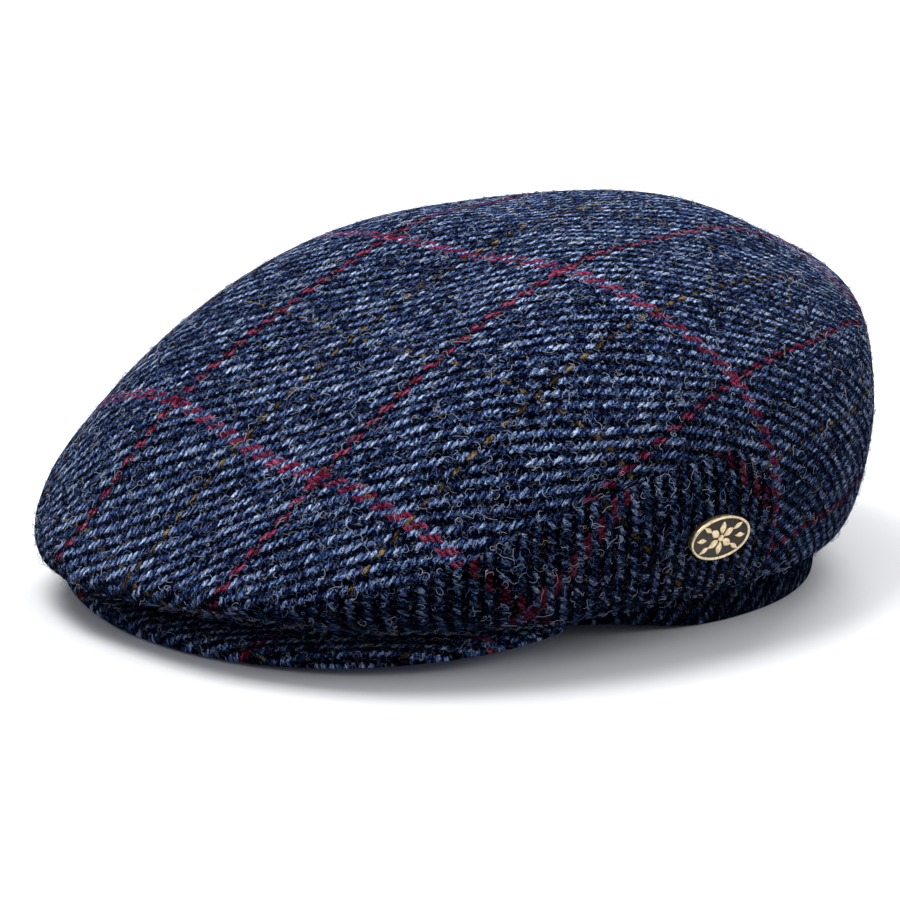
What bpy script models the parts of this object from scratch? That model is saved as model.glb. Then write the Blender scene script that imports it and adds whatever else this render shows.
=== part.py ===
"""Flat cap in checked wool tweed: a top panel, two side panels, a headband, a peak and a side badge.

Metres, +Z up. The cap faces -Y and the wearer's left is +X. The origin lies under the middle of the
cap, on the surface that it rests on. The crown is hollow and open below, where the head goes in.
"""
import bpy
import bmesh
from collections import namedtuple
from math import atan2, copysign, cos, hypot, pi, radians, sin
from mathutils import Matrix, Vector

# The head opening, inside the headband, measured from its centre
OPENING_FRONT = 0.0985
OPENING_BACK = 0.0850
OPENING_WIDTH = 0.1760

# The crown, measured from the same centre: it hangs out over the opening all round
FRONT_OVERHANG = 0.0580
BACK_OVERHANG = 0.0275
SIDE_OVERHANG = 0.0155
CROWN_FRONT = OPENING_FRONT + FRONT_OVERHANG
CROWN_BACK = OPENING_BACK + BACK_OVERHANG
CROWN_WIDTH = OPENING_WIDTH + 2 * SIDE_OVERHANG
CROWN_HEIGHT = 0.1010
CROWN_TOP_SHIFT = 0.0060
CLOTH = 0.0020

# Where the crown's hem is sewn in: across the peak's top in front, at the headband beyond its tips
HEM_HEIGHT = 0.0125
HEM_ACROSS_PEAK = 0.70
HEM_LEAVES_PEAK = 0.90
HEM_REACHES_BAND = 1.20
SEAM_GAP = 0.0007
CLEARANCE = 0.0003

# The seams between the panels, as turns from the front about the opening's centre
SIDE_FRONT_TURN = radians(13)
REAR_SEAM_TURN = radians(91)
REAR_SEAM_LEAN = radians(3)
SEAM_DROP_ROWS = 1.7
SEAM_DROP_TURN = radians(52)
CORNER_RADIUS = 0.013
CORNER_DROP_ROWS = 0.55

# The headband
BAND_WALL = 0.0025
BAND_HEIGHT = 0.0220
BAND_ARCH = 0.0045
ARCH_TURN = radians(82)
ARCH_FLAT_TURN = radians(55)

# The peak
PEAK_DEPTH = 0.0460
PEAK_TURN = radians(52)
PEAK_THICKNESS = 0.0060
PEAK_TIP_THICKNESS = 0.0040
PEAK_TIP_WIDTH = 0.0040
PEAK_SQUARE = 2.5
PEAK_INNER_HEIGHT = 0.0055
PEAK_EDGE_HEIGHT = -0.0007
PEAK_SIDE_LIFT = 0.0050
PEAK_CAMBER = 0.0015

# The badge
BADGE_LENGTH = 0.0236
BADGE_WIDTH = 0.0132
BADGE_THICKNESS = 0.0016
BADGE_RIM = 0.0009
BADGE_RELIEF = 0.0005
BADGE_TURN = radians(74.6)
BADGE_ROW = 2.56
BADGE_TILT = radians(-18)

# How finely the cloth is divided, and how many rows the wall's direction is taken over
FRONT_CELLS = 8
SIDE_CELLS = 13
BACK_CELLS = 34
BAND_CELLS = 72
PEAK_CELLS = 34
CELLS_PER_RING = 2
WALL_STEP = 0.3
WELD = 0.000005

# Rings of the crown from the hem's fold up to the top. Reaches and heights are shares of the crown's
# sizes. Square is how full the plan is, 2 for an ellipse, and sweep is how long a ring keeps its
# side height before it falls towards the front.
Ring = namedtuple("Ring", "name front side back front_z side_z back_z front_square back_square sweep shift")
RINGS = [
    Ring("under",    0.932, 0.924, 0.905, 0.150, 0.120, 0.162, 2.6, 1.95, 2.5, 0.0),
    Ring("fold",     0.989, 0.962, 0.957, 0.179, 0.200, 0.257, 2.6, 1.95, 2.5, 0.0),
    Ring("widest",   1.000, 1.000, 0.982, 0.214, 0.418, 0.472, 2.5, 1.95, 1.75, 0.0),
    Ring("shoulder", 0.973, 0.958, 1.000, 0.243, 0.559, 0.668, 2.4, 1.95, 1.65, 0.0),
    Ring("edge",     0.911, 0.879, 0.980, 0.315, 0.695, 0.785, 2.3, 1.95, 1.95, 0.1),
    Ring("slope",    0.753, 0.680, 0.786, 0.487, 0.865, 0.885, 2.3, 1.95, 2.2, 0.3),
    Ring("upper",    0.519, 0.470, 0.539, 0.708, 0.955, 0.996, 2.0, 2.00, 2.0, 0.6),
    Ring("summit",   0.258, 0.225, 0.264, 0.880, 0.978, 0.999, 2.0, 2.00, 2.0, 0.9),
    Ring("pole",     0.000, 0.000, 0.000, 0.984, 0.984, 0.984, 2.0, 2.00, 2.0, 1.0),
]
HEM_ROW = 0
SEAM_ROW = 4
POLE_ROW = len(RINGS)


def smooth(low, high, value):
    """0 below low, 1 above high, with a soft step between."""
    share = min(max((value - low) / (high - low), 0.0), 1.0)
    return share * share * (3 - 2 * share)


def oval_reach(turn, front, side, back, front_square=2.0, back_square=2.0):
    """Distance from the centre to an oval's edge, at a turn from the front."""
    ahead = cos(turn) > 0
    end = front if ahead else back
    square = front_square if ahead else back_square
    return (abs(cos(turn) / end) ** square + abs(sin(turn) / side) ** square) ** (-1 / square)


def plan_point(turn, reach, height):
    return Vector((reach * sin(turn), -reach * cos(turn), height))


# Headband

def band_reach(turn, offset=0.0):
    """The opening's edge, moved out by an offset."""
    return oval_reach(turn, OPENING_FRONT + offset, OPENING_WIDTH / 2 + offset, OPENING_BACK + offset)


def band_rim_height(turn):
    """The lower rim lies flat at the sides and back, and arches up under the peak."""
    away = abs(atan2(sin(turn), cos(turn)))
    return BAND_ARCH * (1 - smooth(ARCH_FLAT_TURN, ARCH_TURN, away))


# Peak

def peak_share(turn):
    """0 at the front of the peak and 1 at its tips."""
    return min(abs(atan2(sin(turn), cos(turn))) / PEAK_TURN, 1.0)


def peak_width(turn):
    return PEAK_TIP_WIDTH + (PEAK_DEPTH - PEAK_TIP_WIDTH) * (1 - peak_share(turn) ** PEAK_SQUARE)


def peak_thickness(turn):
    return PEAK_THICKNESS + (PEAK_TIP_THICKNESS - PEAK_THICKNESS) * peak_share(turn) ** 2


def peak_point(turn, across):
    """A point on the peak's lower face; across is 0 at the headband and 1 at the outer edge."""
    reach = band_reach(turn, BAND_WALL + CLEARANCE) + across * peak_width(turn)
    outer_height = PEAK_EDGE_HEIGHT + PEAK_SIDE_LIFT * (1 - cos(pi * peak_share(turn))) / 2
    height = PEAK_INNER_HEIGHT + (outer_height - PEAK_INNER_HEIGHT) * across
    camber = PEAK_CAMBER * 4 * across * (1 - across) * peak_width(turn) / PEAK_DEPTH
    return plan_point(turn, reach, height + camber)


# Crown

def hem_point(turn):
    """Where the crown's cloth ends: on top of the peak in front, and at the headband elsewhere."""
    on_peak = peak_point(turn, HEM_ACROSS_PEAK)
    on_peak.z += peak_thickness(turn) + CLEARANCE
    at_band = plan_point(turn, band_reach(turn, BAND_WALL + CLEARANCE), HEM_HEIGHT)
    away = abs(atan2(sin(turn), cos(turn)))
    return on_peak.lerp(at_band, smooth(PEAK_TURN * HEM_LEAVES_PEAK, PEAK_TURN * HEM_REACHES_BAND, away))


def ring_point(ring, turn):
    reach = oval_reach(turn, max(CROWN_FRONT * ring.front, 1e-5), max(CROWN_WIDTH / 2 * ring.side, 1e-5),
                       max(CROWN_BACK * ring.back, 1e-5), ring.front_square, ring.back_square)
    ahead = cos(turn) > 0
    end = CROWN_FRONT * ring.front if ahead else CROWN_BACK * ring.back
    end_height = ring.front_z if ahead else ring.back_z
    along = (reach * abs(cos(turn)) / max(end, 1e-5)) ** (ring.sweep if ahead else ring.back_square)
    height = CROWN_HEIGHT * (ring.side_z + (end_height - ring.side_z) * along)
    point = plan_point(turn, reach, height)
    point.y += CROWN_TOP_SHIFT * ring.shift
    return point


def row_point(row, turn):
    if row < 0:
        return 2 * hem_point(turn) - row_point(1, turn)
    if row == HEM_ROW:
        return hem_point(turn)
    if row > POLE_ROW:
        return ring_point(RINGS[2 * POLE_ROW - row - 1], turn + pi)
    return ring_point(RINGS[row - 1], turn)


def crown_point(turn, row):
    """The crown's outer surface: a smooth curve through the rows, at any turn."""
    first = min(max(int(row), 0), POLE_ROW - 1)
    t = row - first
    a, b, c, d = (row_point(first + k, turn) for k in (-1, 0, 1, 2))
    square, cube = a * 2 - b * 5 + c * 4 - d, b * 3 - a - c * 3 + d
    return (b * 2 + (c - a) * t + square * t ** 2 + cube * t ** 3) / 2


def crown_normal(turn, row, step=0.004):
    """Outward direction of the surface, taken over a step to either side."""
    if row > POLE_ROW - 0.02:
        return Vector((0, 0, 1))
    around = crown_point(turn + step, row) - crown_point(turn - step, row)
    up = crown_point(turn, min(row + step, POLE_ROW)) - crown_point(turn, max(row - step, 0))
    return around.cross(up).normalized()


def inward(turn, row):
    """From the cloth's outer side to its inner side. The hem lies flat, so there it is straight up."""
    if row == HEM_ROW:
        return Vector((0, 0, 1))
    return -crown_normal(turn, row, WALL_STEP)


def seam_warp(turn, row):
    """Where a point of the flat pattern lies on the crown.

    The side panel's upper seam drops towards the front, its rear seam leans, and the corner between
    them is round.
    """
    turn = atan2(sin(turn), cos(turn))
    away = abs(turn)
    corner_turn = CORNER_RADIUS / (CROWN_WIDTH / 2)
    seam_share = row / SEAM_ROW if row < SEAM_ROW else max(0.0, 1 - (row - SEAM_ROW) / 3)
    near_rear = max(0.0, 1 - abs(away - REAR_SEAM_TURN) / (4 * corner_turn)) ** 2
    near_corner = max(0.0, 1 - abs(away - REAR_SEAM_TURN) / (2 * corner_turn)) ** 2 * seam_share ** 4
    drop = SEAM_DROP_ROWS * (1 - smooth(SIDE_FRONT_TURN, SEAM_DROP_TURN, away)) * seam_share
    away -= REAR_SEAM_LEAN * seam_share * near_rear + 0.5 * corner_turn * near_corner
    return copysign(away, turn), row - drop - CORNER_DROP_ROWS * near_corner


# Building solids from flat grids

def finish_solid(name, solid, material):
    """Turns the closed shape's faces outwards and puts it in the scene."""
    bmesh.ops.recalc_face_normals(solid, faces=solid.faces)
    mesh = bpy.data.meshes.new(name)
    solid.to_mesh(mesh)
    solid.free()
    mesh.materials.append(material)
    mesh.shade_smooth()
    mesh.set_sharp_from_angle(angle=radians(50))
    obj = bpy.data.objects.new(name, mesh)
    collection.objects.link(obj)
    return obj


def mapped_grid(columns, rows, place):
    """A grid of cells, each corner put where place(column, row) says; meeting corners are welded."""
    grid = bmesh.new()
    bmesh.ops.create_grid(grid, x_segments=columns, y_segments=rows, size=0.5)
    for vert in grid.verts:
        vert.co = place(round((vert.co.x + 0.5) * columns), round((vert.co.y + 0.5) * rows))
    bmesh.ops.remove_doubles(grid, verts=grid.verts, dist=WELD)
    return grid


def cloth_solid(name, columns, rows, spot, keep, material):
    """Cloth cut as a grid pattern and laid on the crown.

    spot(column, row) gives the turn and row on the crown, and keep says which cells are cut out.
    """
    cloth = bmesh.new()
    bmesh.ops.create_grid(cloth, x_segments=columns, y_segments=rows, size=0.5)
    turn_of = cloth.verts.layers.float.new("turn")
    row_of = cloth.verts.layers.float.new("row")
    waste = []
    for face in cloth.faces:
        middle = face.calc_center_median()
        if not keep((middle.x + 0.5) * columns, (middle.y + 0.5) * rows):
            waste.append(face)
    bmesh.ops.delete(cloth, geom=waste, context="FACES")
    for vert in cloth.verts:
        column, row = round((vert.co.x + 0.5) * columns), round((vert.co.y + 0.5) * rows)
        vert[turn_of], vert[row_of] = spot(column, row)
        vert.co = crown_point(vert[turn_of], vert[row_of])
    bmesh.ops.remove_doubles(cloth, verts=cloth.verts, dist=WELD)
    bmesh.ops.recalc_face_normals(cloth, faces=cloth.faces)
    layer = bmesh.ops.extrude_face_region(cloth, geom=list(cloth.faces), use_keep_orig=True)["geom"]
    for item in layer:
        if isinstance(item, bmesh.types.BMVert):
            item.co += CLOTH * inward(item[turn_of], item[row_of])
    return finish_solid(name, cloth, material)


# Crown panels

CROWN_CELLS = FRONT_CELLS + BACK_CELLS + 2 * SIDE_CELLS
SEAM_CELLS = SEAM_ROW * CELLS_PER_RING
POLE_CELLS = POLE_ROW * CELLS_PER_RING


def column_turn(column):
    """The front cells come first, then the left side's, the back's and the right side's."""
    blocks = [
        (FRONT_CELLS, -SIDE_FRONT_TURN, SIDE_FRONT_TURN),
        (SIDE_CELLS, SIDE_FRONT_TURN, REAR_SEAM_TURN),
        (BACK_CELLS, REAR_SEAM_TURN, 2 * pi - REAR_SEAM_TURN),
        (SIDE_CELLS, 2 * pi - REAR_SEAM_TURN, 2 * pi - SIDE_FRONT_TURN),
    ]
    for cells, start, end in blocks:
        if column <= cells:
            return start + (end - start) * column / cells
        column -= cells


def crown_spot(column, row):
    return seam_warp(column_turn(column), row / CELLS_PER_RING)


def in_side_window(column, row):
    left = FRONT_CELLS < column < FRONT_CELLS + SIDE_CELLS
    right = column > FRONT_CELLS + SIDE_CELLS + BACK_CELLS
    return row < SEAM_CELLS and (left or right)


def make_crown_top(material):
    return cloth_solid("crown_top", CROWN_CELLS, POLE_CELLS, crown_spot,
                       lambda column, row: not in_side_window(column, row), material)


def make_side_panel(name, first_column, material):
    """The panel fills its window in the top panel, short of the seams by the seam gap."""
    def spot(column, row):
        turn, crown_row = crown_spot(first_column + column, row)
        here, step = crown_point(turn, crown_row), 0.002
        per_turn = (crown_point(turn + step, crown_row) - here).length / step
        per_row = (crown_point(turn, crown_row - step) - here).length / step
        if column == 0:
            turn += SEAM_GAP / per_turn
        if column == SIDE_CELLS:
            turn -= SEAM_GAP / per_turn
        if row == SEAM_CELLS:
            crown_row -= SEAM_GAP / per_row
        return turn, crown_row
    return cloth_solid(name, SIDE_CELLS, SEAM_CELLS, spot, lambda column, row: True, material)


# Headband: offsets are shares of its wall, heights are shares of its height above the rim

BAND_PROFILE = [(0.25, 0.0), (0.80, 0.0), (1.0, 0.10), (1.0, 0.55), (1.0, 0.95),
                (0.75, 1.0), (0.25, 1.0), (0.0, 0.95), (0.0, 0.50), (0.0, 0.06)]


def make_headband(material):
    def place(column, row):
        turn = 2 * pi * column / BAND_CELLS
        offset, up = BAND_PROFILE[row % len(BAND_PROFILE)]
        rim = band_rim_height(turn)
        return plan_point(turn, band_reach(turn, BAND_WALL * offset), rim + (BAND_HEIGHT - rim) * up)
    return finish_solid("headband", mapped_grid(BAND_CELLS, len(BAND_PROFILE), place), material)


# Peak

NOSE_STEPS = 4
FLAT_STEPS = 3


def peak_section(turn):
    """The peak's section at a turn: share across and share up, once round from the inner lower edge."""
    width = peak_width(turn)
    nose = peak_thickness(turn) / 2
    flat = [(width - nose) / width * k / FLAT_STEPS for k in range(FLAT_STEPS)]
    arc = [-pi / 2 + pi * k / NOSE_STEPS for k in range(NOSE_STEPS + 1)]
    lower = [(across, 0.0) for across in flat]
    rounded = [(1 - nose * (1 - cos(angle)) / width, 0.5 + 0.5 * sin(angle)) for angle in arc]
    upper = [(across, 1.0) for across in reversed(flat)]
    return lower + rounded + upper


def make_peak(material):
    points = 2 * FLAT_STEPS + NOSE_STEPS + 1

    def place(column, row):
        turn = PEAK_TURN * (2 * column / PEAK_CELLS - 1)
        across, up = peak_section(turn)[row % points]
        return peak_point(turn, across) + Vector((0, 0, peak_thickness(turn) * up))
    solid = mapped_grid(PEAK_CELLS, points, place)
    bmesh.ops.holes_fill(solid, edges=[edge for edge in solid.edges if edge.is_boundary])
    return finish_solid("peak", solid, material)


# Badge: an oval plate with a raised rim, a rosette and two leaves

BADGE_CELLS = 44
BADGE_FIELD_STEPS = 8
PETALS = 6
ROSETTE_SHARE = 0.46
LEAF_SHARES = (0.52, 0.92)


def badge_relief(x, y):
    """Height of the motif above the sunk field, 0 to 1, at a point in the badge's plane."""
    rosette_radius = ROSETTE_SHARE * BADGE_WIDTH / 2
    out = hypot(x, y) / rosette_radius
    petal = 0.78 + 0.22 * cos(PETALS * atan2(y, x))
    rosette = 1 - smooth(petal - 0.12, petal + 0.12, out)
    heart = 0.4 * (1 - smooth(0.15, 0.3, out))
    inner, outer = (share * BADGE_LENGTH / 2 for share in LEAF_SHARES)
    along = (abs(x) - inner) / (outer - inner)
    half_width = 0.17 * BADGE_WIDTH * sin(pi * min(max(along, 0.0), 1.0))
    leaf = smooth(0.0, 0.0003, half_width - abs(y))
    return max(rosette * (1 - heart), leaf)


def make_badge(material):
    half_length, half_width = BADGE_LENGTH / 2, BADGE_WIDTH / 2
    rim_share = BADGE_RIM / half_width
    field_height = BADGE_THICKNESS - BADGE_RELIEF
    outside = [(0.0, 0.0), (0.97, 0.0), (1.0, 0.2 * BADGE_THICKNESS), (1.0, 0.8 * BADGE_THICKNESS),
               (1 - 0.25 * rim_share, BADGE_THICKNESS), (1 - 0.75 * rim_share, BADGE_THICKNESS)]

    def place(column, row):
        angle = 2 * pi * column / BADGE_CELLS
        if row < len(outside):
            share, height = outside[row]
        else:
            share = (1 - rim_share) * (1 - (row - len(outside)) / BADGE_FIELD_STEPS)
            at = (half_length * share * cos(angle), half_width * share * sin(angle))
            height = field_height + 0.8 * BADGE_RELIEF * badge_relief(*at)
        return Vector((half_length * share * cos(angle), half_width * share * sin(angle), height))
    solid = mapped_grid(BADGE_CELLS, len(outside) + BADGE_FIELD_STEPS, place)
    badge = finish_solid("badge", solid, material)
    seat = crown_point(BADGE_TURN, BADGE_ROW)
    normal = crown_normal(BADGE_TURN, BADGE_ROW)
    level = Vector((0, 0, 1)).cross(normal).normalized()
    upright = normal.cross(level)
    axes = Matrix((level, upright, normal)).transposed() @ Matrix.Rotation(BADGE_TILT, 3, "Z")
    stand_off = CLEARANCE + seat_rise(seat, axes, normal)
    badge.matrix_world = Matrix.Translation(seat + normal * stand_off) @ axes.to_4x4()
    return badge


def seat_rise(seat, axes, normal):
    """How far the cloth under the badge rises above the plane through its seat."""
    rise = 0.0
    for k in range(-6, 7):
        for row_step in range(-6, 7):
            point = crown_point(BADGE_TURN + 0.016 * k, BADGE_ROW + 0.03 * row_step) - seat
            in_plane = axes.transposed() @ point
            if (in_plane.x / BADGE_LENGTH) ** 2 + (in_plane.y / BADGE_WIDTH) ** 2 < 0.27:
                rise = max(rise, point.dot(normal))
    return rise


def make_material(name, color, roughness, metallic=0.0):
    material = bpy.data.materials.new(name)
    material.use_nodes = True
    shader = material.node_tree.nodes["Principled BSDF"]
    shader.inputs["Base Color"].default_value = (*color, 1)
    shader.inputs["Roughness"].default_value = roughness
    shader.inputs["Metallic"].default_value = metallic
    return material


for old in list(bpy.data.objects):
    bpy.data.objects.remove(old)
collection = bpy.data.collections.new("flat_cap")
bpy.context.scene.collection.children.link(collection)

tweed = make_material("tweed", (0.030, 0.037, 0.070), 0.95)
dark_tweed = make_material("band_tweed", (0.022, 0.027, 0.055), 0.95)
brass = make_material("antique_brass", (0.55, 0.45, 0.28), 0.38, 1.0)

pieces = [
    make_crown_top(tweed),
    make_side_panel("side_panel_left", FRONT_CELLS, tweed),
    make_side_panel("side_panel_right", FRONT_CELLS + SIDE_CELLS + BACK_CELLS, tweed),
    make_headband(dark_tweed),
    make_peak(tweed),
    make_badge(brass),
]

# Up to here the origin is the opening's centre; now it moves under the middle of the whole cap
corners = [piece.matrix_world @ vert.co for piece in pieces for vert in piece.data.vertices]
middle = [(min(corner[axis] for corner in corners) + max(corner[axis] for corner in corners)) / 2
          for axis in (0, 1)]
for piece in pieces:
    piece.matrix_world = Matrix.Translation((-middle[0], -middle[1], 0)) @ piece.matrix_world
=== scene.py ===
"""Flat cap in brushed wool tweed: the looks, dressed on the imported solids.

Metres, +Z up. The cap faces -Y and the wearer's left is +X. The cloth pieces are smooth copies of
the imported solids, with the weave laid on them by a UV map in metres that follows the cloth.
"""
from math import cos, pi, radians, sin

import bmesh
import bpy
import numpy as np
from mathutils import Matrix, Vector
from mathutils.bvhtree import BVHTree


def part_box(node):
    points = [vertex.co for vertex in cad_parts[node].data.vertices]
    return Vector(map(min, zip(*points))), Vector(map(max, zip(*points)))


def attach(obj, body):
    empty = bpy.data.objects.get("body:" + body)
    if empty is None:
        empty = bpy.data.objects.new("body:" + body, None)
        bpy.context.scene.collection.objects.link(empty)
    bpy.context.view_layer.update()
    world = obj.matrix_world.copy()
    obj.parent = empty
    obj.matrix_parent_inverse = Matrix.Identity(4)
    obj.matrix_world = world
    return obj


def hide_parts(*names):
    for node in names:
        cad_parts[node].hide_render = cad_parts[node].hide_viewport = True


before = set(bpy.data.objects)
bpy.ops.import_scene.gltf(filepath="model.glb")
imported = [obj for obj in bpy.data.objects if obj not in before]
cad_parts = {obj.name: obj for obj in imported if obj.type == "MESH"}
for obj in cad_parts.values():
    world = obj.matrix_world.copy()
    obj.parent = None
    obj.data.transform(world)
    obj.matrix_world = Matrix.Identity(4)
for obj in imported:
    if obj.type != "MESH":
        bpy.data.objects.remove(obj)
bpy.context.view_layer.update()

# Top panel. One piece of brushed wool tweed that rolls over the front edge, runs over the top and
# wraps down the whole back. It is cut from the flat cloth, eased onto the round form and sewn to the
# side panels, with closed, tucked seams.

# The crown's heart is the point inside the cap that the cloth is measured from: lengths along the
# cloth are added up over rays that turn from straight up to below the horizon.
HEART_BACK = 0.605
HEART_UP = 0.3
crown_low, crown_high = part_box("crown_top")
HEART = Vector(((crown_low.x + crown_high.x) / 2,
                crown_low.y + HEART_BACK * (crown_high.y - crown_low.y), HEART_UP * crown_high.z))
TURN_STEPS = 96
RISE_STEP = radians(2.5)
RISE_STEPS = 47
NEIGHBOURS = 3

crown_cage = bmesh.new()
CROWN_PIECES = ("crown_top", "side_panel_left", "side_panel_right")
for node in CROWN_PIECES:
    crown_cage.from_mesh(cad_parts[node].data)
crown_walls = BVHTree.FromBMesh(crown_cage)
crown_cage.free()


def measure_crown():
    """Length along the cloth from the top down and reach from the heart, for each turn and rise."""
    hits = np.zeros((TURN_STEPS + 1, RISE_STEPS))
    for k in range(TURN_STEPS + 1):
        turn = 2 * pi * k / TURN_STEPS
        for m in range(RISE_STEPS):
            rise = pi / 2 - m * RISE_STEP
            ray = Vector((cos(rise) * sin(turn), -cos(rise) * cos(turn), sin(rise)))
            hit = crown_walls.ray_cast(HEART, ray)
            hits[k, m] = hits[k, m - 1] if hit[0] is None else hit[3]
    # A ray that slips through a seam is evened out by its neighbours
    around = np.concatenate([hits[-NEIGHBOURS - 1:-1], hits, hits[1:NEIGHBOURS + 1]])
    turned = [around[shift:shift + TURN_STEPS + 1] for shift in range(2 * NEIGHBOURS + 1)]
    hits = np.median(turned, axis=0)
    rises = pi / 2 - np.arange(RISE_STEPS) * RISE_STEP
    reaches, heights = hits * np.cos(rises), hits * np.sin(rises)
    steps = np.hypot(np.diff(reaches, axis=1), np.diff(heights, axis=1))
    return np.concatenate([np.zeros((TURN_STEPS + 1, 1)), np.cumsum(steps, 1)], 1), reaches


CLOTH_LEVELS = 2
MERGE = 0.00002
PAIRING = radians(60)
SHARP = radians(50)
RAY_CLEAR = 0.003
SEAM_CLOSE = 0.0005
SEAM_TUCK = 0.0022
SETTLE = 0.0055
SETTLE_FRONT = (0.070, 0.115)
SETTLE_FAR = (-0.040, 0.030)
SETTLE_LOW = (0.025, 0.060)


def show(name, data):
    """A new object in the scene."""
    shown = bpy.data.objects.new(name, data)
    bpy.context.scene.collection.objects.link(shown)
    return shown


def close_seams(cage, tuck):
    """Pushes a crown piece's cut edges out to meet at the seam, and its inner edge further by tuck."""
    pushed = {}
    for wall in cage.faces:
        middle = wall.calc_center_median()
        away = (middle - HEART).normalized()
        sharp = [edge for edge in wall.edges if edge.calc_face_angle(0) > SHARP]
        covered = crown_walls.ray_cast(middle + away * RAY_CLEAR, away)[0]
        # A cut edge is a strip of quads between two sharp edges, with nothing over it
        if len(sharp) < 6 - len(wall.verts) or abs(wall.normal.dot(away)) > 0.5 or covered:
            continue
        for corner in wall.verts:
            reach = SEAM_CLOSE + (tuck if (corner.co - middle).dot(away) < 0 else 0)
            way = pushed.get(corner, (Vector(), 0))[0]
            pushed[corner] = (way + wall.normal, reach)
    for corner, (way, reach) in pushed.items():
        corner.co += reach * way.normalized()


def smooth_copy(node, name):
    """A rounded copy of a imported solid: its triangles are merged, paired and subdivided."""
    cage = bmesh.new()
    cage.from_mesh(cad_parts[node].data)
    bmesh.ops.remove_doubles(cage, verts=cage.verts, dist=MERGE)
    bmesh.ops.join_triangles(cage, faces=cage.faces, angle_face_threshold=PAIRING,
                             angle_shape_threshold=PAIRING)
    if node in CROWN_PIECES:
        close_seams(cage, 0 if node == "crown_top" else SEAM_TUCK)
    mesh = bpy.data.meshes.new(name)
    cage.to_mesh(mesh)
    cage.free()
    piece = show(name, mesh)
    rounding = piece.modifiers.new("rounding", "SUBSURF")
    rounding.levels = rounding.render_levels = CLOTH_LEVELS
    rounded = piece.evaluated_get(bpy.context.evaluated_depsgraph_get())
    piece.data = bpy.data.meshes.new_from_object(rounded)
    piece.modifiers.clear()
    piece.data.name = name
    piece.data.shade_smooth()
    return piece


def corner_places(piece):
    places = np.empty(len(piece.data.vertices) * 3)
    piece.data.vertices.foreach_get("co", places)
    return places.reshape(-1, 3)


def move_corners(piece, places):
    piece.data.vertices.foreach_set("co", places.ravel())
    piece.data.update()


def lay_cloth(piece, cloth):
    """Gives the piece its map onto the flat cloth, in metres."""
    at_corner = np.empty(len(piece.data.loops), int)
    piece.data.loops.foreach_get("vertex_index", at_corner)
    while piece.data.uv_layers:
        piece.data.uv_layers.remove(piece.data.uv_layers[0])
    layer = piece.data.uv_layers.new(name="cloth")
    layer.data.foreach_set("uv", cloth[at_corner].ravel())


def settle(piece):
    """The far front corner of the crown sags a little towards the peak, after its map is laid."""
    places = corner_places(piece)
    front = soft_step(*SETTLE_FRONT, -places[:, 1]) * soft_step(*SETTLE_FAR, -places[:, 0])
    places[:, 2] -= SETTLE * front * (1 - soft_step(*SETTLE_LOW, places[:, 2]))
    move_corners(piece, places)


def soft_step(low, high, value):
    """0 below low, 1 above high and a smooth rise between."""
    share = np.clip((value - low) / (high - low), 0, 1)
    return share * share * (3 - 2 * share)


cloth_lengths, cloth_reaches = measure_crown()
LEVEL = round(pi / 2 / RISE_STEP)
level_steps = np.hypot(np.diff(cloth_reaches[:, LEVEL]),
                       cloth_reaches[1:, LEVEL] * 2 * pi / TURN_STEPS)
girth = np.concatenate([[0], np.cumsum(level_steps)])


def on_crown(places):
    """For each place: its turn in steps, the length of cloth from the top, and the way from the top."""
    off = places - np.array(HEART)
    flat = np.maximum(np.hypot(off[:, 0], off[:, 1]), 1e-6)
    turn = np.arctan2(off[:, 0], -off[:, 1]) / (2 * pi) % 1 * TURN_STEPS
    fall = np.clip((pi / 2 - np.arctan2(off[:, 2], flat)) / RISE_STEP, 0, RISE_STEPS - 1.001)
    k, m = turn.astype(int), fall.astype(int)
    a, b = turn - k, fall - m
    length = ((1 - a) * (1 - b) * cloth_lengths[k, m] + a * (1 - b) * cloth_lengths[k + 1, m]
              + (1 - a) * b * cloth_lengths[k, m + 1] + a * b * cloth_lengths[k + 1, m + 1])
    return turn, length, off[:, :2] / flat[:, None]


# The easing that the photo shows: lines along the cloth close up towards the back and the lower edge
# of the sides, lines across it bend back at the sides, and the far side's lines spread. Each pull is
# a length, or a share of one, and the ranges say where along and across the cloth it sets in.
REAR_PULL, REAR_ALONG, REAR_ACROSS = 0.026, (-0.080, 0.100), (0.030, 0.100)
SIDE_PULL, SIDE_ALONG, SIDE_ACROSS = 0.013, (-0.125, -0.030), (0.050, 0.110)
EDGE_PULL, EDGE_START = 0.40, 0.092
BACK_PULL, BACK_ALONG, BACK_ACROSS = 0.022, (0.015, 0.085), (0.055, 0.095)
FAR_PULL, FAR_ALONG, FAR_ACROSS = 0.012, (-0.130, -0.040), (-0.020, 0.060)
FAR_SPREAD, SPREAD_FROM = 0.23, 0.057


def top_cloth(places):
    turn, length, way = on_crown(places)
    across, along = length * way[:, 0], length * way[:, 1]
    eased = REAR_PULL * soft_step(*REAR_ALONG, along) * soft_step(*REAR_ACROSS, np.abs(across))
    bent = SIDE_PULL * soft_step(*SIDE_ACROSS, np.abs(across)) * soft_step(*SIDE_ALONG, along)
    across, along = across + np.sign(across) * eased, along - bent
    across += np.sign(across) * (EDGE_PULL * np.maximum(np.abs(across) - EDGE_START, 0)
                                 + BACK_PULL * soft_step(*BACK_ALONG, along)
                                 * soft_step(*BACK_ACROSS, np.abs(across)))
    far = soft_step(*FAR_ACROSS, -across)
    across -= FAR_PULL * far * soft_step(*FAR_ALONG, along)
    return np.stack([across, along + FAR_SPREAD * far * (along + SPREAD_FROM)], 1)


# Tweed. A two-and-two twill in heathered blue warp over near-black navy weft, with crimson and ochre
# yarns at even spaces both ways, brushed so that pale fibres curl over the surface.

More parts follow.
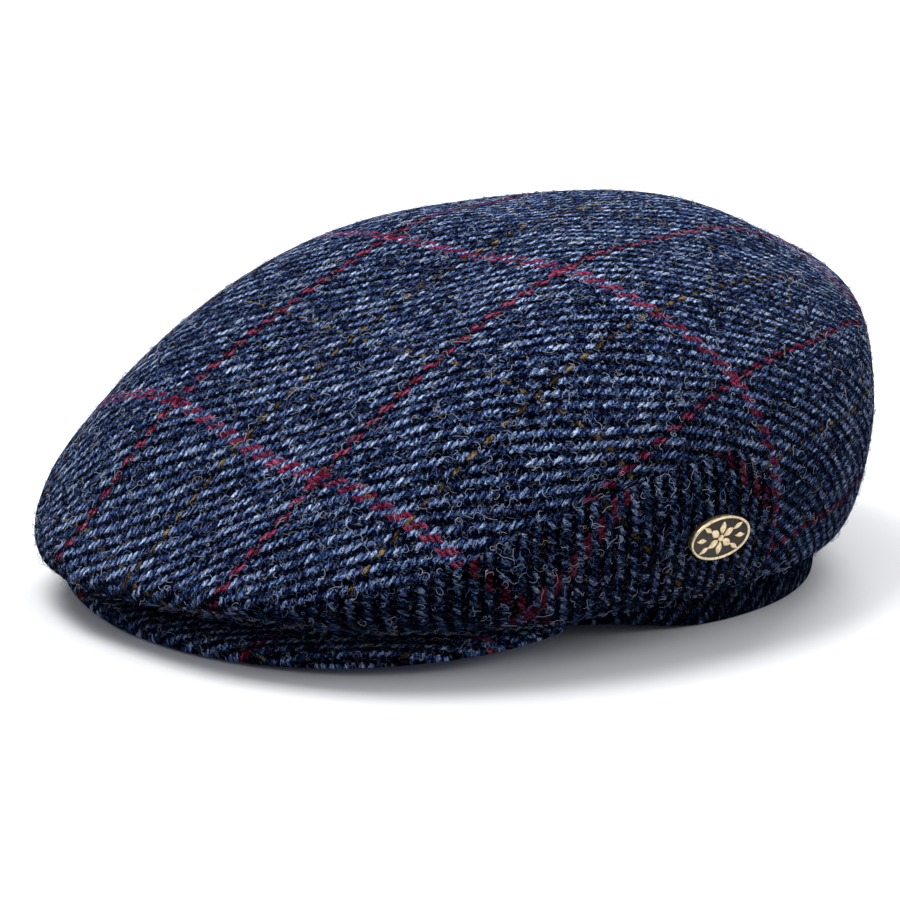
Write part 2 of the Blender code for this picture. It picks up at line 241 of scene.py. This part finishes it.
PITCH = 0.0016
WARP_REPEAT = 46
WEFT_REPEAT = 64
ONE_YARN, TWO_YARNS, THREE_YARNS = 0.51, 1.01, 1.51


class Nodes:
    """Makes the nodes of one material or world. A value is a socket to link or a number to set."""

    def __init__(self, owner):
        owner.use_nodes = True
        self.tree = owner.node_tree

    def new(self, kind):
        return self.tree.nodes.new("ShaderNode" + kind)

    def set(self, node, index, value):
        if isinstance(value, bpy.types.NodeSocket):
            self.tree.links.new(value, node.inputs[index])
        elif value is not None:
            node.inputs[index].default_value = value

    def calc(self, operation, a, b=None, c=None):
        node = self.new("Math")
        node.operation = operation
        for index, value in enumerate((a, b, c)):
            self.set(node, index, value)
        return node.outputs[0]

    def place(self, x, y, z):
        node = self.new("CombineXYZ")
        for index, value in enumerate((x, y, z)):
            self.set(node, index, value)
        return node.outputs[0]

    def shift(self, at, x, y):
        node = self.new("VectorMath")
        self.set(node, 0, at)
        self.set(node, 1, (x, y, 0))
        return node.outputs[0]

    def noise(self, at, scale, detail=2.0):
        node = self.new("TexNoise")
        self.set(node, "Vector", at)
        self.set(node, "Scale", scale)
        self.set(node, "Detail", detail)
        return node.outputs["Fac"]

    def chance(self, at):
        node = self.new("TexWhiteNoise")
        self.set(node, "Vector", at)
        return node.outputs["Value"]

    def band(self, value, low, high):
        node = self.new("MapRange")
        node.interpolation_type = "SMOOTHSTEP"
        for index, number in enumerate((value, low, high)):
            self.set(node, index, number)
        return node.outputs[0]

    def ramp(self, value, stops):
        node = self.new("ValToRGB")
        while len(node.color_ramp.elements) < len(stops):
            node.color_ramp.elements.new(0.5)
        for element, (position, color) in zip(node.color_ramp.elements, stops):
            element.position = position
            element.color = (*color, 1)
        self.set(node, 0, value)
        return node.outputs[0]

    def blend(self, share, first, second, kind="MIX"):
        node = self.new("Mix")
        node.data_type = "RGBA"
        node.blend_type = kind
        self.set(node, 0, share)
        for index, value in ((6, first), (7, second)):
            self.set(node, index, value if isinstance(value, bpy.types.NodeSocket) else (*value, 1))
        return node.outputs[2]

    def bump(self, height, strength, distance):
        node = self.new("Bump")
        self.set(node, "Strength", strength)
        self.set(node, "Distance", distance)
        self.set(node, "Height", height)
        return node.outputs[0]


# Each yarn's colours, from the dark of its fibres to the light
BLUE_YARN = [(0.20, (0.0008, 0.0018, 0.011)), (0.38, (0.0045, 0.010, 0.042)),
             (0.50, (0.013, 0.031, 0.118)), (0.64, (0.066, 0.126, 0.325)),
             (0.79, (0.260, 0.365, 0.600)), (0.94, (0.560, 0.640, 0.780))]
DARK_YARN = [(0.35, (0.0002, 0.0004, 0.0025)), (0.58, (0.0009, 0.0022, 0.012)),
             (0.76, (0.006, 0.013, 0.054)), (0.96, (0.055, 0.090, 0.220))]
CRIMSON_YARN = [(0.18, (0.020, 0.001, 0.005)), (0.52, (0.120, 0.007, 0.028)),
                (0.88, (0.360, 0.060, 0.130))]
OCHRE_YARN = [(0.20, (0.008, 0.004, 0.002)), (0.52, (0.055, 0.032, 0.014)),
              (0.85, (0.280, 0.200, 0.100))]
NAP = (0.36, 0.41, 0.52)

# Noise scale, sideways shift on the cloth, line thickness and strength of each kind of curl
CURLS = ((420, 3.1, 0.013, 0.42), (640, 7.7, 0.015, 0.36))

# How far yarns wander and how woolly their edges are, in yarns: noise scale, detail and amount
WANDER_SLOW, WANDER_QUICK = (120, 2.0, 1.5), (1100, 3.0, 1.05)
YARN_ROUND, YARN_DIVE = 3.0, 0.50
WEFT_TOP, CRIMSON_TOP = 0.78, 0.35
# Painted shade in the gaps between yarns: the yarn heights over which it fades out, and the share of
# colour left in the deepest gap
PAINTED_GAP_SHADE_HEIGHTS, PAINTED_GAP_SHADE_DARKEST = (0.05, 0.92), 0.03
STREAK_SHARE, FLOAT_SHARES, PATCH_SHARE, PATCH_SCALE = 2.1, (0.42, 0.24), 0.35, 60
STREAK_RELIEF, CURL_RELIEF, RELIEF, RELIEF_DEPTH = 0.5, 0.6, 0.9, 0.0006


# shade is painted shade: a factor that darkens the whole cloth and its nap, 1 for none
def make_tweed(name, crimson_warp=0.0, crimson_weft=0.0, shade=1.0, checks=1.0):
    """crimson_warp and crimson_weft say where the crimson yarns lie on the cloth, in metres."""
    material = bpy.data.materials.new(name)
    cloth = Nodes(material)
    calc, noise = cloth.calc, cloth.noise
    laid = cloth.new("UVMap")
    laid.uv_map = "cloth"
    flat = laid.outputs[0]
    parts = cloth.new("SeparateXYZ")
    cloth.set(parts, 0, flat)

    def spread(value, amount):
        return calc("MULTIPLY", calc("SUBTRACT", value, 0.5), amount)

    # The yarns wander a little, and their edges are woolly
    def wander(value, offset):
        at = cloth.shift(flat, offset, 2 * offset)
        slow, quick = [spread(noise(at, scale, detail), amount)
                       for scale, detail, amount in (WANDER_SLOW, WANDER_QUICK)]
        return calc("ADD", calc("ADD", calc("DIVIDE", value, PITCH), slow), quick)
    ends = wander(parts.outputs[0], 0.31)
    picks = wander(parts.outputs[1], 0.77)

    end, pick = calc("FLOOR", ends), calc("FLOOR", picks)
    beside_end = calc("SUBTRACT", calc("FRACT", ends), 0.5)
    beside_pick = calc("SUBTRACT", calc("FRACT", picks), 0.5)
    warp_float = calc("SUBTRACT", picks, end)
    weft_float = calc("SUBTRACT", ends, pick)
    along_warp = calc("WRAP", calc("SUBTRACT", warp_float, 1.0), 2.0, -2.0)
    along_weft = calc("WRAP", calc("SUBTRACT", weft_float, 2.0), 2.0, -2.0)

    def stripe(yarn, line, repeat, half_width):
        off = calc("SUBTRACT", calc("ADD", yarn, 0.5), line / PITCH)
        off = calc("WRAP", off, repeat / 2, -repeat / 2)
        return calc("MULTIPLY", calc("LESS_THAN", calc("ABSOLUTE", off), half_width), checks)
    weft_crimson = stripe(pick, crimson_weft, WEFT_REPEAT, THREE_YARNS)

    def yarn_height(beside, along, top):
        round_off = calc("MULTIPLY", calc("POWER", calc("ABSOLUTE", beside), 2.0), YARN_ROUND)
        dive = calc("MULTIPLY", calc("POWER", calc("ABSOLUTE", along), 2.0), YARN_DIVE)
        return calc("SUBTRACT", calc("SUBTRACT", top, round_off), dive)
    weft_top = calc("ADD", calc("MULTIPLY", weft_crimson, CRIMSON_TOP), WEFT_TOP)
    warp_height = yarn_height(beside_end, along_warp, 1.0)
    weft_height = yarn_height(beside_pick, along_weft, weft_top)
    warp_on_top = cloth.band(calc("SUBTRACT", warp_height, weft_height), -0.10, 0.10)
    height = calc("MAXIMUM", warp_height, weft_height)

    # Fibres: fine streaks twisted along each yarn, and a lighter or darker tone for each float
    def streaks(beside, along, twist):
        return noise(cloth.place(calc("MULTIPLY", beside, 5.0), calc("MULTIPLY", along, 1.1),
                                 calc("MULTIPLY", beside, twist)), 1.0, 3.0)
    warp_streak = streaks(calc("ADD", ends, calc("MULTIPLY", picks, 0.35)), picks, 1.3)
    weft_streak = streaks(calc("ADD", picks, calc("MULTIPLY", ends, 0.35)), ends, 1.7)
    warp_tone = cloth.chance(cloth.place(end, calc("FLOOR", calc("DIVIDE", warp_float, 4.0)), 0.0))
    weft_tone = cloth.chance(cloth.place(pick, calc("FLOOR", calc("DIVIDE", weft_float, 4.0)), 5.0))
    patch = noise(flat, PATCH_SCALE, 1.0)

    def mixed(streak, tone, tone_share):
        middle = calc("ADD", spread(streak, STREAK_SHARE), 0.5)
        return calc("ADD", calc("ADD", middle, spread(tone, tone_share)), spread(patch, PATCH_SHARE))
    warp_mix = mixed(warp_streak, warp_tone, FLOAT_SHARES[0])
    weft_mix = mixed(weft_streak, weft_tone, FLOAT_SHARES[1])

    # Overchecks: two or three crimson yarns at each repeat, and one ochre yarn half way between
    warp_half, weft_half = WARP_REPEAT * PITCH / 2, WEFT_REPEAT * PITCH / 2
    warp_color = cloth.ramp(warp_mix, BLUE_YARN)
    weft_color = cloth.ramp(weft_mix, DARK_YARN)
    warp_crimson = stripe(end, crimson_warp, WARP_REPEAT, TWO_YARNS)
    warp_ochre = stripe(end, crimson_warp + warp_half, WARP_REPEAT, ONE_YARN)
    weft_ochre = stripe(pick, crimson_weft + weft_half, WEFT_REPEAT, ONE_YARN)
    warp_color = cloth.blend(warp_crimson, warp_color, cloth.ramp(warp_mix, CRIMSON_YARN))
    warp_color = cloth.blend(warp_ochre, warp_color, cloth.ramp(warp_mix, OCHRE_YARN))
    weft_color = cloth.blend(weft_crimson, weft_color, cloth.ramp(weft_mix, CRIMSON_YARN))
    weft_color = cloth.blend(weft_ochre, weft_color, cloth.ramp(weft_mix, OCHRE_YARN))
    woven = cloth.blend(warp_on_top, weft_color, warp_color)

    # Painted shade: the gaps between yarns are darkened by their depth, and the whole piece by its shade
    # factor
    depth = calc("ADD", calc("MULTIPLY", cloth.band(height, *PAINTED_GAP_SHADE_HEIGHTS), 1 - PAINTED_GAP_SHADE_DARKEST), PAINTED_GAP_SHADE_DARKEST)
    tone = calc("MULTIPLY", depth, shade)
    lit = cloth.blend(1.0, woven, cloth.place(tone, tone, tone), "MULTIPLY")

    # Nap: thin curls are the level lines of a soft noise, broken up by another
    def curls(scale, offset, thickness, amount):
        at = cloth.shift(flat, offset, -offset)
        level = calc("ABSOLUTE", calc("SUBTRACT", noise(at, scale, 1.5), 0.5))
        line = calc("SUBTRACT", 1.0, cloth.band(level, thickness * 0.3, thickness))
        here = cloth.band(noise(at, scale * 0.9, 0.0), 0.50, 0.62)
        return calc("MULTIPLY", calc("MULTIPLY", line, here), amount)
    curl = calc("MAXIMUM", curls(*CURLS[0]), curls(*CURLS[1]))
    # The nap's pale colour takes the same painted shade
    lit = cloth.blend(curl, lit, tuple(shade * part for part in NAP))

    relief = calc("ADD", height, calc("MULTIPLY", warp_streak, STREAK_RELIEF))
    relief = calc("ADD", relief, calc("MULTIPLY", curl, CURL_RELIEF))
    shader = cloth.tree.nodes["Principled BSDF"]
    for socket, value in (("Normal", cloth.bump(relief, RELIEF, RELIEF_DEPTH)), ("Base Color", lit),
                          ("Roughness", 0.95), ("Specular IOR Level", 0.0), ("Sheen Weight", 0.02),
                          ("Sheen Roughness", 0.3), ("Sheen Tint", (0.55, 0.65, 0.90, 1))):
        cloth.set(shader, socket, value)
    return material


def dress(piece, node, material):
    piece.data.materials.clear()
    piece.data.materials.append(material)
    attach(piece, "root")
    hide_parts(node)


TOP_CRIMSON_WARP = 0.033
TOP_CRIMSON_WEFT = -0.026

top = smooth_copy("crown_top", "top_panel")
lay_cloth(top, top_cloth(corner_places(top)))
settle(top)
dress(top, "crown_top", make_tweed("tweed_top", TOP_CRIMSON_WARP, TOP_CRIMSON_WEFT))

# Brushed fibres. Pale, blue and straw wool hairs that curl over the weave. On the real cap they are
# the tweed's own brushed nap, held in its yarns, and they stand off its edges.

FIBRE_RADIUS = 0.000052
FIBRE_POINTS = 9
FIBRE_LENGTHS = (0.0015, 0.0052)
FIBRE_BEND = 2.6
FIBRE_KINK, KINK_SHARE = 0.9, 0.45
FIBRE_ARCHES = (0.0002, 0.0008)
FREE_ENDS = (0.55, 1.6)
FIBRE_CLEAR = 0.00005
FIBRES = (("pale_wool", (0.42, 0.46, 0.54), 0.44), ("blue_wool", (0.08, 0.14, 0.32), 0.51),
          ("straw_wool", (0.32, 0.24, 0.11), 0.05))


def wool(name, color):
    hair = bpy.data.materials.new(name)
    nodes = Nodes(hair)
    shader = nodes.tree.nodes["Principled BSDF"]
    for socket, value in (("Base Color", (*color, 1)), ("Roughness", 0.8), ("Specular IOR Level", 0.15)):
        nodes.set(shader, socket, value)
    return hair


hairs = [wool(name, color) for name, color, share in FIBRES]
fibre_shares = np.cumsum([share for name, color, share in FIBRES])


def brush_up(piece, name, amount, seed, kept):
    """Curly hairs on the outer faces of a piece, as one mesh. kept gives each face's share of hairs."""
    random = np.random.default_rng(seed)
    piece.data.calc_loop_triangles()
    corners = np.empty(len(piece.data.loop_triangles) * 3, int)
    piece.data.loop_triangles.foreach_get("vertices", corners)
    a, b, c = corner_places(piece)[corners.reshape(-1, 3).T]
    cross = np.cross(b - a, c - a)
    size = np.linalg.norm(cross, axis=1)
    face_way = cross / np.maximum(size, 1e-12)[:, None]
    weight = size * kept((a + b + c) / 3, face_way)
    chosen = random.choice(len(a), amount, p=weight / weight.sum())
    s, t = random.random(amount), random.random(amount)
    s, t = np.where(s + t > 1, 1 - s, s)[:, None], np.where(s + t > 1, 1 - t, t)[:, None]
    root = a[chosen] + s * (b - a)[chosen] + t * (c - a)[chosen]
    out = face_way[chosen]
    side = np.cross(out, random.normal(size=(amount, 3)))
    side /= np.linalg.norm(side, axis=1)[:, None]
    front = np.cross(out, side)
    length = random.uniform(*FIBRE_LENGTHS, amount)
    bend = random.normal(0, 1, amount) * FIBRE_BEND + np.sign(random.normal(size=amount)) * FIBRE_BEND
    kink = random.normal(0, FIBRE_KINK, (amount, FIBRE_POINTS))
    heading = np.linspace(0, 1, FIBRE_POINTS) * bend[:, None] + np.cumsum(kink, 1) * KINK_SHARE
    step = (length / (FIBRE_POINTS - 1))[:, None]
    ahead, aside = np.cumsum(np.cos(heading) * step, 1), np.cumsum(np.sin(heading) * step, 1)
    arch = random.uniform(*FIBRE_ARCHES, amount)[:, None]
    free = random.uniform(*FREE_ENDS, amount)[:, None]
    lift = arch * np.sin(np.linspace(0, pi, FIBRE_POINTS) / free) ** 2 + FIBRE_CLEAR
    path = (root[:, None] + ahead[:, :, None] * front[:, None] + aside[:, :, None] * side[:, None]
            + lift[:, :, None] * out[:, None])
    kind = np.searchsorted(fibre_shares[:-1], random.random(amount))
    curls = bpy.data.curves.new(name, "CURVE")
    curls.dimensions = "3D"
    curls.bevel_depth = FIBRE_RADIUS
    curls.bevel_resolution = 0
    for hair in hairs:
        curls.materials.append(hair)
    for way, hair in zip(path, kind):
        curl = curls.splines.new("POLY")
        curl.points.add(FIBRE_POINTS - 1)
        curl.points.foreach_set("co", np.c_[way, np.ones(FIBRE_POINTS)].ravel())
        curl.material_index = int(hair)
    route = show(name, curls)
    evaluated = route.evaluated_get(bpy.context.evaluated_depsgraph_get())
    fluff_mesh = bpy.data.meshes.new_from_object(evaluated)
    bpy.data.objects.remove(route)
    fluff = show(name, fluff_mesh)
    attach(fluff, "root")


def outside(places, ways):
    """1 on the cloth's outer faces, 0 on its lining side and its cut edges."""
    off = places - np.array(HEART)
    facing = np.einsum("ij,ij->i", off / np.linalg.norm(off, axis=1)[:, None], ways)
    return (facing > 0.15).astype(float)


TOP_HAIRS, SIDE_HAIRS, BAND_HAIRS, PEAK_HAIRS = 2700, 520, 160, 380
for part in (1, 2):
    brush_up(top, f"top_fibres_{part}", TOP_HAIRS, 40 + part, outside)

# Side panels. D-shaped pieces of the same tweed, sewn to the top panel round their curved edge. They
# are cut on the bias, so their twill stands upright.

BIAS = radians(45)
SIDE_CRIMSON_WARP = -0.004
SIDE_CRIMSON_WEFT = 0.060
# Painted shade: the side panels' tweed is darkened for the shade on their sideways faces below the seam
SIDE_PAINTED_SHADE = 0.52


def side_cloth(places, side):
    """The flat cloth's map on a side panel: round the cap from its middle, and up from its level."""
    turn, length, way = on_crown(places)
    k = turn.astype(int)
    level = (1 - turn + k) * cloth_lengths[k, LEVEL] + (turn - k) * cloth_lengths[k + 1, LEVEL]
    round_it = np.interp(turn, range(TURN_STEPS + 1), girth)
    quarter = np.interp(TURN_STEPS * (0.25 if side > 0 else 0.75), range(TURN_STEPS + 1), girth)
    round_it, up = round_it - quarter, level - length
    return np.stack([round_it * sin(BIAS) + up * cos(BIAS), up * sin(BIAS) - round_it * cos(BIAS)], 1)


side_tweed = make_tweed("tweed_side", SIDE_CRIMSON_WARP, SIDE_CRIMSON_WEFT, SIDE_PAINTED_SHADE)
for side, node in ((1, "side_panel_left"), (-1, "side_panel_right")):
    panel = smooth_copy(node, node.replace("panel", "cloth"))
    lay_cloth(panel, side_cloth(corner_places(panel), side))
    settle(panel)
    dress(panel, node, side_tweed)
    brush_up(panel, node + "_fibres", SIDE_HAIRS, 50 + side, outside)

# Headband. A low strip of the same tweed round the head opening, sewn inside the crown's lower edge.
# It is set in under the crown, its tweed is darkened with painted shade, and it shows no check.

BAND_REACH = 0.090
BAND_UNDER = 0.3
# Painted shade: the band's tweed is darkened for the shade it lies in under the crown
BAND_PAINTED_SHADE = 0.25
BAND_HAIRS_FROM = 0.004


def band_cloth(places):
    off = places - np.array(HEART)
    turn = np.arctan2(off[:, 0], -off[:, 1])
    return np.stack([turn * BAND_REACH,
                     places[:, 2] + BAND_UNDER * np.hypot(off[:, 0], off[:, 1])], 1)


band = smooth_copy("headband", "band_cloth")
lay_cloth(band, band_cloth(corner_places(band)))
dress(band, "headband", make_tweed("tweed_band", shade=BAND_PAINTED_SHADE, checks=0.0))
brush_up(band, "band_fibres", BAND_HAIRS, 60,
         lambda places, ways: outside(places, ways) * (places[:, 2] > BAND_HAIRS_FROM))

# Peak. A stiff crescent board wrapped in the same tweed, with a soft round edge. It is sewn in
# between the headband and the crown's front.

FAR_WIDENING = 0.006
FAR_END = (0.020, 0.080)
PEAK_TOP = 0.0115
PEAK_CRIMSON_WARP = 0.0314
PEAK_CRIMSON_WEFT = -0.075
PEAK_UNDERSIDE = -0.3


def peak_cloth(places):
    """The flat cloth's map on the peak: seen from above, and unrolled outwards over its edge."""
    off = places[:, :2] - np.array(HEART)[:2]
    outward = off / np.linalg.norm(off, axis=1)[:, None]
    return places[:, :2] + outward * (PEAK_TOP - places[:, 2])[:, None]


peak = smooth_copy("peak", "peak_cloth")
wide = corner_places(peak)
lay_cloth(peak, peak_cloth(wide))
wide[:, 0] -= FAR_WIDENING * soft_step(*FAR_END, -wide[:, 0])
move_corners(peak, wide)
dress(peak, "peak", make_tweed("tweed_peak", PEAK_CRIMSON_WARP, PEAK_CRIMSON_WEFT))
brush_up(peak, "peak_fibres", PEAK_HAIRS, 70,
         lambda places, ways: (ways[:, 2] > PEAK_UNDERSIDE).astype(float))

# Badge. A small oval plate of antique brass with a raised rim, pressed into the nap of the left side
# panel. Sprays of leaves flank a six-petal rosette on its darkened, sunk field.

BADGE_RIM = 0.0008
BADGE_FOOT = 0.93
BADGE_SUNK = 0.0004
BADGE_TURN = radians(14)
OVAL_SIDES = 72
BEVEL_WIDTH = 0.00025
BEVEL_HEIGHT = 0.0003
FIELD_DROP = 0.00035

# Length, width and height of each kind of form on the field, its way out and how pointed it is
PETALS = 6
PETAL, PETAL_OUT, PETAL_POINT = (0.00200, 0.00125, 0.00045), 0.0031, 0.45
BOSS = (0.0011, 0.0011, 0.0007)
LEAF, LEAF_OUT, LEAF_POINT = (0.0021, 0.00085, 0.00045), 0.0078, 0.85
LEAF_FAN, LEAF_IN = radians(27), 0.0010
RIDGE_DEPTH, RIDGE_WIDTH = 0.30, 0.16

metal_places = corner_places(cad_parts["badge"])
badge_centre = metal_places.mean(0)
badge_axes = np.linalg.svd(metal_places - badge_centre, full_matrices=False)[2]
badge_out = badge_axes[2] * np.sign(badge_axes[2][0])
badge_long = badge_axes[0] * np.sign(badge_axes[0][1])
badge_up = np.cross(badge_out, badge_long)
half_long, half_high, half_thick = [np.abs((metal_places - badge_centre) @ way).max()
                                    for way in (badge_long, badge_up, badge_out)]
badge_long = np.cos(BADGE_TURN) * badge_long + np.sin(BADGE_TURN) * badge_up
badge_up = np.cross(badge_out, badge_long)

plate = bmesh.new()
bmesh.ops.create_circle(plate, cap_ends=True, segments=OVAL_SIDES, radius=1)
bmesh.ops.scale(plate, vec=(half_long, half_high, 1), verts=plate.verts)
bmesh.ops.translate(plate, vec=(0, 0, -half_thick), verts=plate.verts)
foot = plate.verts[:]
raised = bmesh.ops.extrude_face_region(plate, geom=plate.faces[:])["geom"]
bmesh.ops.scale(plate, vec=(BADGE_FOOT, BADGE_FOOT, 1), verts=foot)
bmesh.ops.translate(plate, vec=(0, 0, 2 * half_thick - BEVEL_HEIGHT),
                    verts=[part for part in raised if isinstance(part, bmesh.types.BMVert)])
face = max(plate.faces, key=lambda f: f.calc_center_median().z)
for inward, rise in ((BEVEL_WIDTH, BEVEL_HEIGHT), (BADGE_RIM - 2 * BEVEL_WIDTH, 0),
                     (BEVEL_WIDTH, -FIELD_DROP)):
    bmesh.ops.inset_region(plate, faces=[face], thickness=inward, depth=rise)
face.material_index = 1
bmesh.ops.recalc_face_normals(plate, faces=plate.faces)
field_height = half_thick - FIELD_DROP


def raise_form(size, turn, away, pinch):
    """A domed petal or leaf on the field, with a groove along it. pinch points its ends."""
    grown = bmesh.ops.create_uvsphere(plate, u_segments=20, v_segments=10, radius=1)["verts"]
    for corner in grown:
        narrow = 1 - pinch * abs(corner.co.x) ** 1.5
        ridge = 1 - RIDGE_DEPTH * np.exp(-(corner.co.y / RIDGE_WIDTH) ** 2)
        corner.co = Vector((corner.co.x * size[0], corner.co.y * narrow * size[1],
                            corner.co.z * ridge * size[2]))
    place = Matrix.Rotation(turn, 4, "Z") @ Matrix.Translation((away, 0, field_height))
    bmesh.ops.transform(plate, matrix=place, verts=grown)


for k in range(PETALS):
    raise_form(PETAL, 2 * pi * (k + 0.5) / PETALS, PETAL_OUT, PETAL_POINT)
raise_form(BOSS, 0, 0, 0)
for turn in (0, pi):
    for sprig in (-1, 0, 1):
        raise_form(LEAF, turn + sprig * LEAF_FAN, LEAF_OUT - LEAF_IN * abs(sprig), LEAF_POINT)
stand = Matrix([[*column, 0] for column in np.array([badge_long, badge_up, badge_out]).T.tolist()]
               + [[0, 0, 0, 1]])
badge_place = Matrix.Translation((badge_centre - BADGE_SUNK * badge_out).tolist()) @ stand
bmesh.ops.transform(plate, matrix=badge_place, verts=plate.verts)
plate_mesh = bpy.data.meshes.new("oval_badge")
plate.to_mesh(plate_mesh)
plate.free()
plate_mesh.shade_smooth()
oval = show("oval_badge", plate_mesh)

WORN_SCALE, GRAIN_SCALE = 900, 2600
GRAIN, GRAIN_DEPTH = 0.25, 0.0001


def brass(name, pale, dull, roughness, metallic):
    """Antique brass: worn bright on the high places and tarnished in patches."""
    material = bpy.data.materials.new(name)
    metal = Nodes(material)
    shader = metal.tree.nodes["Principled BSDF"]
    at = metal.new("TexCoord").outputs["Object"]
    worn = metal.noise(at, WORN_SCALE, 4.0)
    rough = metal.calc("ADD", metal.calc("MULTIPLY", worn, 0.25), roughness)
    grain = metal.bump(metal.noise(at, GRAIN_SCALE, 3.0), GRAIN, GRAIN_DEPTH)
    for socket, value in (("Base Color", metal.ramp(worn, [(0.24, dull), (0.54, pale)])),
                          ("Roughness", rough), ("Metallic", metallic), ("Normal", grain)):
        metal.set(shader, socket, value)
    return material


plate_mesh.materials.append(brass("antique_brass", (0.80, 0.66, 0.42), (0.42, 0.32, 0.17), 0.28, 1.0))
plate_mesh.materials.append(brass("tarnish", (0.050, 0.042, 0.034), (0.012, 0.010, 0.010), 0.45, 0.6))
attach(oval, "root")
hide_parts("badge")

# Floor, light and camera. A plain pale floor under soft studio light, no part of the cap. The camera
# stands where the photo was taken from.

FLOOR_SIZE = 6.0
floor_mesh = bpy.data.meshes.new("floor")
floor_cage = bmesh.new()
bmesh.ops.create_grid(floor_cage, x_segments=1, y_segments=1, size=FLOOR_SIZE)
floor_cage.to_mesh(floor_mesh)
floor_cage.free()
floor = show("floor", floor_mesh)
floor_paint = bpy.data.materials.new("pale_floor")
paint = Nodes(floor_paint)
for socket, value in (("Base Color", (0.68, 0.68, 0.69, 1)), ("Roughness", 0.7)):
    paint.set(paint.tree.nodes["Principled BSDF"], socket, value)
floor_mesh.materials.append(floor_paint)
# The photo's underside is almost black, so the floor throws no soft light back up
floor.visible_diffuse = False

# The room's light from straight below, or level, up to straight above
SKY = [(0.0, (0.25, 0.26, 0.31)), (0.35, (0.53, 0.56, 0.64)), (1.0, (1.15, 1.15, 1.15))]
world = bpy.data.worlds.new("studio")
sky = Nodes(world)
way_up = sky.new("SeparateXYZ")
sky.set(way_up, 0, sky.new("TexCoord").outputs["Generated"])
sky.set(sky.tree.nodes["Background"], 0, sky.ramp(way_up.outputs[2], SKY))
bpy.context.scene.world = world
bpy.context.scene.view_settings.view_transform = "Standard"

# Name, place, height of the point it faces, and power
SOFTBOX_SIZE = 0.8
SOFTBOXES = (("key_softbox", (-0.55, -0.25, 1.5), 0.05, 26),
             ("rear_softbox", (1.3, 0.9, 0.7), 0.05, 5),
             ("back_softbox", (-0.5, 1.2, 0.9), 0.08, 16))
for name, place, faced, power in SOFTBOXES:
    lamp = bpy.data.lights.new(name, "AREA")
    lamp.size = SOFTBOX_SIZE
    lamp.energy = power
    softbox = show(name, lamp)
    softbox.location = place
    softbox.rotation_euler = (Vector((0, 0, faced)) - Vector(place)).to_track_quat("-Z", "Y").to_euler()

CAMERA_TURN = radians(43.64)
CAMERA_RISE = radians(14.91)
CAMERA_ROLL = radians(1.49)
CAMERA_DISTANCE = 1.300
CAMERA_AIM = Vector((-0.0027, -0.0061, 0.0352))
CAMERA_LENS = 176.6
camera = show("camera", bpy.data.cameras.new("camera"))
camera.data.lens = CAMERA_LENS
camera_back = Vector((sin(CAMERA_TURN) * cos(CAMERA_RISE), -cos(CAMERA_TURN) * cos(CAMERA_RISE),
                      sin(CAMERA_RISE)))
camera.location = CAMERA_AIM + CAMERA_DISTANCE * camera_back
camera.rotation_mode = "QUATERNION"
level_view = (-camera_back).to_track_quat("-Z", "Y")
camera.rotation_quaternion = level_view @ Matrix.Rotation(CAMERA_ROLL, 3, "Z").to_quaternion()
bpy.context.scene.camera = camera
